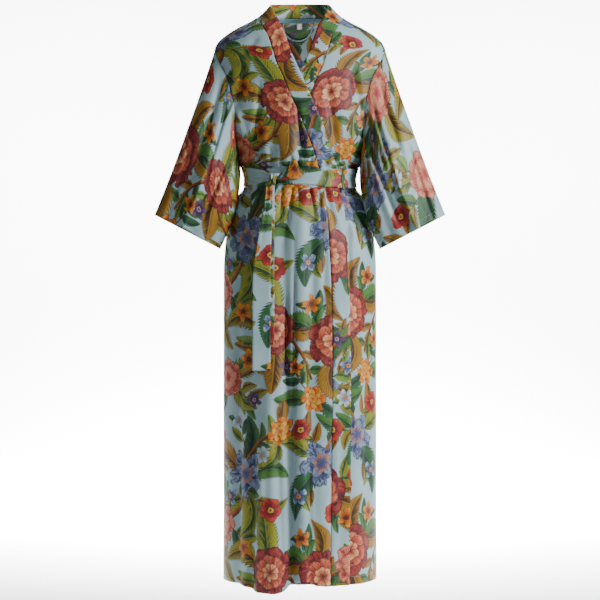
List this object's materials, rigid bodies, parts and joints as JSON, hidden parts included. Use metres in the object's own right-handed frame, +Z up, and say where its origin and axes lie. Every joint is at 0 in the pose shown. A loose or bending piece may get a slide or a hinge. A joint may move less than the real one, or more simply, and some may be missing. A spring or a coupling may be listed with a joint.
{
  "type": "kimono robe",
  "caption": "Long hollow kimono robe in its worn shape, with crossed fronts, wide three-quarter sleeves, a folded neckband and a tied belt.",
  "frame": {"origin": "middle of the neck seam, level with the two neck points at the inner ends of the shoulder seams, where the wearer's shoulders carry the robe", "axes": "+Z up, +X to the wearer's left, the front faces -Y"},
  "size_m": [0.684, 0.2671, 1.391],
  "materials": {
    "printed_cloth": "smooth printed satin-weave viscose, duck-egg blue ground, soft sheen",
    "band_cloth": "the same printed satin, folded double and pressed",
    "belt_cloth": "the same printed satin, folded double and turned out",
    "tape": "narrow woven tape, teal blue, matt",
    "label": "blank white woven label"
  },
  "bodies": {
    "root": {"front_right_outer": "printed_cloth", "front_left_inner": "printed_cloth", "back": "printed_cloth", "sleeve_right": "printed_cloth", "sleeve_left": "printed_cloth", "neckband_right": "band_cloth", "neckband_left": "band_cloth", "neckband_back": "band_cloth", "belt_wrap": "belt_cloth", "belt_knot": "belt_cloth", "belt_knot_ear": "belt_cloth", "belt_end_long": "belt_cloth", "belt_end_short": "belt_cloth", "belt_loop_left": "belt_cloth", "belt_loop_right": "belt_cloth", "neck_tape": "tape", "hanging_loop": "belt_cloth", "size_label": "label"}
  },
  "joints": []
}
